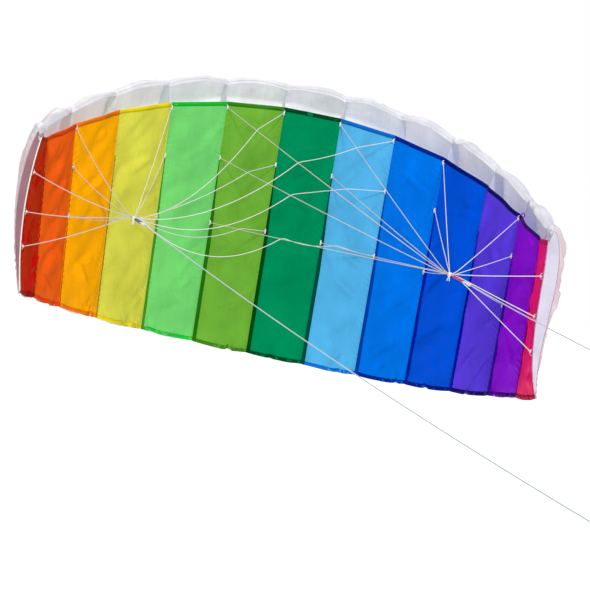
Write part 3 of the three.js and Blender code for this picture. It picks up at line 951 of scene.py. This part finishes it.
for side_name, side_facts in SIDES.items():
    for rib_number in side_facts["ribs"]:
        for row_letter in ROWS:
            add_bridle_line(rib_number, row_letter)
    add_bridle_knot(side_name, side_facts)
    add_tow_loop(side_name, side_facts)
    add_ribbon_tab(side_name, side_facts)
    add_line_knot(side_name, side_facts)
    add_flying_line(side_name, side_facts)

# --- Skins ---

SEAM_CROWDING = 0.1  # the grid's columns crowd towards the seams


def panel_columns(count):
    j = np.linspace(0, 1, count)
    return j - SEAM_CROWDING * np.sin(2 * math.pi * j)


def skin_grid(name, skin, s, t, lift, material):
    """A piece of cloth on a skin, as a grid of points at s across and t along, both arrays."""
    points = skin.at(s, t, lift)
    rows, columns = points.shape[:2]
    wide = np.broadcast_to(s, (rows, columns)) * skin.width
    long = np.broadcast_to(t, (rows, columns)) * skin.length
    uv = np.stack((wide + 0.13 * skin.cell, long), -1)
    return mesh_object(name, points, grid_faces(rows, columns), uv, material)


def hem_profile(depth, lift):
    """A folded hem in section: (distance in from the edge, height), from its outer face to its inner one."""
    outer = ((depth, 0.00004), (depth, lift), (0.0006, lift), (-0.0004, 0.5 * lift))
    inner = ((-0.0006, 0), (-0.0004, -0.5 * lift), (0.0006, -lift), (depth, -lift))
    return outer + inner


def add_hem(name, skin, at_tail, material):
    s = panel_columns(31)[None, :]
    profile = hem_profile(HEM, HEM_LIFT)
    distance = np.array([d for d, _ in profile])[:, None] / skin.length
    lift = np.array([h for _, h in profile])[:, None]
    t = 1 - distance if at_tail else distance
    return skin_grid(name, skin, s, t, np.broadcast_to(lift, (len(profile), 31)), material)


def add_seam_edge_and_shade(name, skin, material):
    """The folded edge of cloth beside a seam, seen through the panel as a darker strip that widens aft: a
    real seam allowance, drawn on the panel's outer face in painted shade, the colour of light coming through
    both layers.
    """
    t = np.linspace(TAPE_START, 1, 90)[:, None]
    widen = smooth_step((t - TAPE_START) / (0.62 - TAPE_START))
    wide = TAPE_WIDE * min(max((skin.cell - 3) / 3, 0.25), 1)
    narrow = min(TAPE_NARROW, wide)
    width = (narrow + (wide - narrow) * widen) / skin.width
    s = width * np.array((0.02, 0.35, 0.7, 0.97, 1.0))[None, :]
    lift = np.array((TAPE_LIFT, TAPE_LIFT, TAPE_LIFT, TAPE_LIFT, 0.00005))[None, :]
    return skin_grid(name, skin, s, t, np.broadcast_to(lift, s.shape), material)


def stitch_row(skin, places, lift=0.0002):
    """Stitches along a list of (s, t) places, as (place, direction, outward) rows."""
    s, t = np.array(places).T
    line = skin.at(s, t, lift)
    out = skin.at(s, t, lift + 0.001) - line
    count = int(lengths_along(line)[-1] / STITCH_PITCH)
    spots = evenly(line, 2 * count + 1)
    outs = np.repeat(out[:1], 2 * count + 1, 0)
    if lengths_along(out)[-1] > 1e-9:
        outs = evenly(out, 2 * count + 1)
    return [(spots[i], spots[i + 1] - spots[i - 1], outs[i]) for i in range(1, 2 * count, 2)]


def add_stitching(name, skin, material):
    """Rows of stitches along the hems and beside both seams of a panel."""
    inset = SEAM_STITCH_INSET / skin.width
    front = HEM_STITCH_INSET / skin.length
    along = np.linspace(0.004, 0.996, 160)
    across = np.linspace(0.02, 0.98, 40)
    rows = []
    rows += stitch_row(skin, [(inset, t) for t in along], 0.0005)
    rows += stitch_row(skin, [(1 - inset, t) for t in along])
    rows += stitch_row(skin, [(s, front) for s in across], HEM_LIFT + 0.0002)
    rows += stitch_row(skin, [(s, 1 - front) for s in across], HEM_LIFT + 0.0002)
    return stitch_mesh(name, rows, STITCH_LENGTH, STITCH_RADIUS, material)


def add_lower_cell(cell):
    skin = Skin(cell, upper=False)
    s, t = panel_columns(33)[None, :], np.linspace(0, 1, 190)[:, None]
    name = f"lower_skin_{cell:02d}"
    panel = skin_grid(name, skin, s, t, 0.0, PANEL_NYLON[cell - 1])
    trims = [
        add_hem(f"lower_lip_hem_{cell:02d}", skin, False, HEM_NYLON[cell - 1]),
        add_hem(f"lower_tail_hem_{cell:02d}", skin, True, HEM_NYLON[cell - 1]),
        add_stitching(f"lower_stitching_{cell:02d}", skin, PANEL_THREAD[cell - 1]),
    ]
    if cell > 1:
        # The seam strip's colour is painted shade: both cloths' colours multiplied and dimmed, as light
        # through two layers.
        both = layered(COLOURS[cell - 2], COLOURS[cell - 1], TAPE_TONE)
        tape = f"seam_tape_{cell:02d}"
        trims.append(add_seam_edge_and_shade(tape, skin, nylon(tape, both, 0.1, 0.5)))
    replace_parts(panel, f"lower_panel_{cell:02d}")
    finish_cell(panel, trims, cell)


def add_upper_cell(cell):
    skin = Skin(cell, upper=True)
    s, t = panel_columns(33)[None, :], np.linspace(0, 1, 170)[:, None]
    panel = skin_grid(f"upper_skin_{cell:02d}", skin, s, t, 0.0, WHITE_NYLON)
    trims = [
        add_hem(f"upper_lip_hem_{cell:02d}", skin, False, WHITE_HEM),
        add_stitching(f"upper_stitching_{cell:02d}", skin, WHITE_THREAD),
    ]
    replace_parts(panel, f"upper_panel_{cell:02d}")
    finish_cell(panel, trims, cell)


def finish_cell(panel, trims, cell):
    for piece in (panel, *trims):
        attach(piece, cell, cell + 1)


for cell_number in range(1, CELLS + 1):
    add_lower_cell(cell_number)
    add_upper_cell(cell_number)

# --- Ribs ---

RIB_SPACING = 0.009
PIPING_RADIUS = 0.0009
LOOP_RIB = 12  # the rib with a small loop of cloth at its front corner


def height_at(rib, share):
    w = max(share - CREST_AFT, 0) / (1 - CREST_AFT)
    return CREST_HEIGHT * rib.thickness * rib.chord * (1 - 1.5 * w**2 + 0.5 * w**3)


def rib_outline(rib):
    """The rib's edge in its own plane, clear of the skins, starting at the lower lip."""
    upper = upper_line(rib)
    upper = upper - line_normals(upper) * RIB_INSET
    above = upper[:, 1] - underside_height(rib, np.clip(upper[:, 0] / rib.chord, 0, 1))
    upper = upper[above > 2.2 * RIB_INSET]
    w = np.linspace(0, upper[-1, 0] / rib.chord, 60)
    lower = np.stack((w * rib.chord, underside_height(rib, w) + RIB_INSET), -1)
    lip, foot = upper[0], lower[0]
    middle = np.array((FRONT_RECESS * rib.chord, lip[1] * 0.6))
    w = np.linspace(0, 1, 12)[1:-1, None]
    front = lip * (1 - w) ** 2 + middle * 2 * w * (1 - w) + foot * w**2
    return np.concatenate((evenly(lower, 60), upper[::-3], front))


def circle(centre, radius, count=28):
    turn = np.linspace(0, 2 * math.pi, count, endpoint=False)
    return np.array(centre) + radius * np.stack((np.cos(turn), np.sin(turn)), -1)


def inside(points, outline):
    """Which flat points lie inside an outline."""
    x, y = points[:, 0:1], points[:, 1:2]
    ax, ay = outline[:, 0], outline[:, 1]
    bx, by = np.roll(ax, -1), np.roll(ay, -1)
    spans = (ay > y) != (by > y)
    with np.errstate(divide="ignore", invalid="ignore"):
        crossing = ax + (y - ay) * (bx - ax) / (by - ay)
    return (spans & (x < crossing)).sum(1) % 2 == 1


def rib_vents(rib):
    if rib.number in (1, CELLS + 1):
        return []
    return [((aft * rib.chord, 0.47 * height_at(rib, aft)), radius * rib.chord) for aft, radius in VENTS]


def flat_mesh(outline, holes):
    """Points and triangles of a flat shape with holes, with points spread inside it so that it can ripple."""
    low, high = outline.min(0), outline.max(0)
    xs = np.arange(low[0], high[0], RIB_SPACING)
    ys = np.arange(low[1], high[1], RIB_SPACING)
    fill = np.stack(np.meshgrid(xs, ys), -1).reshape(-1, 2)
    fill = fill[inside(fill, outline)]
    for centre, radius in holes:
        fill = fill[np.linalg.norm(fill - centre, axis=1) > radius + 0.3 * RIB_SPACING]
    loops = [outline] + [circle(centre, radius) for centre, radius in holes]
    points = np.concatenate(loops + [fill])
    edges, start = [], 0
    for loop in loops:
        edges += [(start + i, start + (i + 1) % len(loop)) for i in range(len(loop))]
        start += len(loop)
    made = delaunay_2d_cdt([Vector(p) for p in points], edges, [], 1, 1e-7)
    flat = np.array([tuple(v) for v in made[0]])
    faces = []
    for face in made[2]:
        middle = flat[list(face)].mean(0)
        if inside(middle[None], outline)[0] and all(np.linalg.norm(middle - c) > r for c, r in holes):
            faces.append(tuple(face))
    return flat, faces


def add_rib(number):
    """A rib of thin cloth with bound vents, slightly rippled between its sewn edges."""
    rib = RIBS[number]
    outline = rib_outline(rib)
    vents = rib_vents(rib)
    flat, faces = flat_mesh(outline, vents)
    draw = random.Random(900 + number)
    phases = [draw.uniform(0, 6.28) for _ in range(3)]
    height = np.array([height_at(rib, float(share)) for share in flat[:, 0] / rib.chord])
    above = flat[:, 1] - underside_height(rib, np.clip(flat[:, 0] / rib.chord, 0, 1))
    clear = np.clip(np.minimum(above, height - above) / 0.012, 0, 1)
    sway = np.sin(flat[:, 0] / 0.021 + phases[0] + flat[:, 1] / 0.04) + np.sin(flat[:, 0] / 0.008 + phases[1])
    sway = 0.0007 * clear * sway
    points = rib.place(flat) + sway[:, None] * rib.side
    # The tip ribs' cloths are shaded copies of the white rib cloth: painted shade, and on the left tip
    # painted red light coming through as well.
    cloth = {1: SHADED_NYLON, CELLS + 1: TIP_RIB_SHADED_NYLON}.get(number, RIB_NYLON)
    piece = mesh_object(f"rib_cloth_{number:02d}", points, faces, flat + 0.3 * number, cloth)
    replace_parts(piece, f"rib_{number:02d}")
    trims = []
    for i, (centre, radius) in enumerate(vents):
        ring = rib.place(circle(centre, radius + 0.0009, 40))
        trims.append(tube(f"vent_hem_{number:02d}_{i + 1}", ring, 0.0007, WHITE_HEM, closed=True))
    front = outline[-10:]
    trims.append(tube(f"rib_front_binding_{number:02d}", rib.place(evenly(front, 24)), 0.0008, WHITE_HEM))
    if number == LOOP_RIB:
        loop = rib.place(circle((0.001, 0.0045), 0.0034, 24)) + 0.001 * rib.side
        trims.append(tube("leading_edge_loop", loop, 0.0009, PANEL_NYLON[number - 1], closed=True))
    if number == 1:
        edge = rib.place(lower_line(rib)[::3])
        trims.append(tube(f"tip_piping_{number:02d}", edge, PIPING_RADIUS, LOOP_TAPE))
    for thing in (piece, *trims):
        attach(thing, number, number)


for rib_number in RIBS:
    add_rib(rib_number)

# --- Sewn bridle loops ---

BRIDLE_LOOP = {"length": 0.0085, "height": 0.0034, "width": 0.0032, "thick": 0.0004}
BRIDLE_KNOT = 0.0021


def add_bridle_loop(number, row):
    """A small arch of white tape sewn into the seam, with the line's knot round its crown."""
    rib = RIBS[number]
    place = attachment(number, row, 0)
    turn = np.linspace(0, math.pi, 15)
    along = -BRIDLE_LOOP["length"] / 2 * np.cos(turn)
    proud = -BRIDLE_LOOP["height"] * np.sin(turn) ** 0.7
    middle = place + rib.turned(np.stack((along, proud), -1))
    half = BRIDLE_LOOP["width"] / 2 * (1 - 0.35 * np.sin(turn))[:, None] * rib.side
    points = np.stack((middle - half, middle, middle + half), 1)
    wide = np.broadcast_to(np.array((0, 0.5, 1)) * BRIDLE_LOOP["width"], (15, 3))
    long = np.broadcast_to(np.linspace(0, 0.014, 15)[:, None], (15, 3))
    uv = np.stack((wide, long), -1)
    loop = mesh_object(f"bridle_loop_{number:02d}{row}", points, grid_faces(15, 3), uv, LOOP_TAPE)
    thick = loop.modifiers.new("thickness", "SOLIDIFY")
    thick.thickness = BRIDLE_LOOP["thick"]
    route = line_route(number, row)
    back = unit(route[-2] - route[-1])
    centre = route[-1] + back * 0.0024
    knot = add_knot(f"bridle_hitch_{number:02d}{row}", centre, axes_along(back), BRIDLE_KNOT, 0.0007)
    for piece in (loop, knot):
        attach(piece, number, number)


for rib_number in sorted(SIDES["left"]["ribs"] + SIDES["right"]["ribs"]):
    for row_letter in ROWS:
        add_bridle_loop(rib_number, row_letter)

# --- Floor and light ---

FLOOR_Z = -3.6
FLOOR_HALF_WIDTH = 40


def add_floor():
    nodes = Nodes("pale_floor")
    tone = nodes.ramp(nodes.noise((0.4, 0.4), 2), ((0.3, grey(0.9)), (0.7, grey(0.93))))
    normal = nodes.bump(nodes.noise((30, 30), 2), 0.001, 0.05)
    face = nodes.principled(tone, normal, Roughness=0.9, Specular_IOR_Level=0.1)
    half = FLOOR_HALF_WIDTH
    corners = [(x, y, FLOOR_Z) for x, y in ((-half, -half), (half, -half), (half, half), (-half, half))]
    mesh_object("floor", corners, [(0, 1, 2, 3)], [c[:2] for c in corners], nodes.surfaced(face))


def add_world(seen, lighting):
    """An even white sky, brighter to the eye than to the kite."""
    world = bpy.data.worlds.new("studio")
    bpy.context.scene.world = world
    world.use_nodes = True
    tree = world.node_tree
    tree.nodes.clear()
    output = tree.nodes.new("ShaderNodeOutputWorld")
    mix = tree.nodes.new("ShaderNodeMixShader")
    path = tree.nodes.new("ShaderNodeLightPath")
    tree.links.new(path.outputs["Is Camera Ray"], mix.inputs["Fac"])
    for place, strength in ((1, lighting), (2, seen)):
        sky = tree.nodes.new("ShaderNodeBackground")
        sky.inputs["Color"].default_value = (1, 1, 1, 1)
        sky.inputs["Strength"].default_value = strength
        tree.links.new(sky.outputs["Background"], mix.inputs[place])
    tree.links.new(mix.outputs["Shader"], output.inputs["Surface"])


def add_sun(name, direction, strength, spread):
    data = bpy.data.lights.new(name, "SUN")
    data.energy = strength
    data.angle = math.radians(spread)
    light = bpy.data.objects.new(name, data)
    light.rotation_mode = "QUATERNION"
    light.rotation_quaternion = Vector(direction).to_track_quat("-Z", "Y")
    bpy.context.scene.collection.objects.link(light)


add_floor()
add_world(1.0, 0.5)
add_sun("key", (-0.12, 0.85, -0.5), 3.1, 8)
add_sun("back", (0.3, -0.9, -0.65), 1.6, 25)
bpy.context.scene.view_settings.view_transform = "Standard"
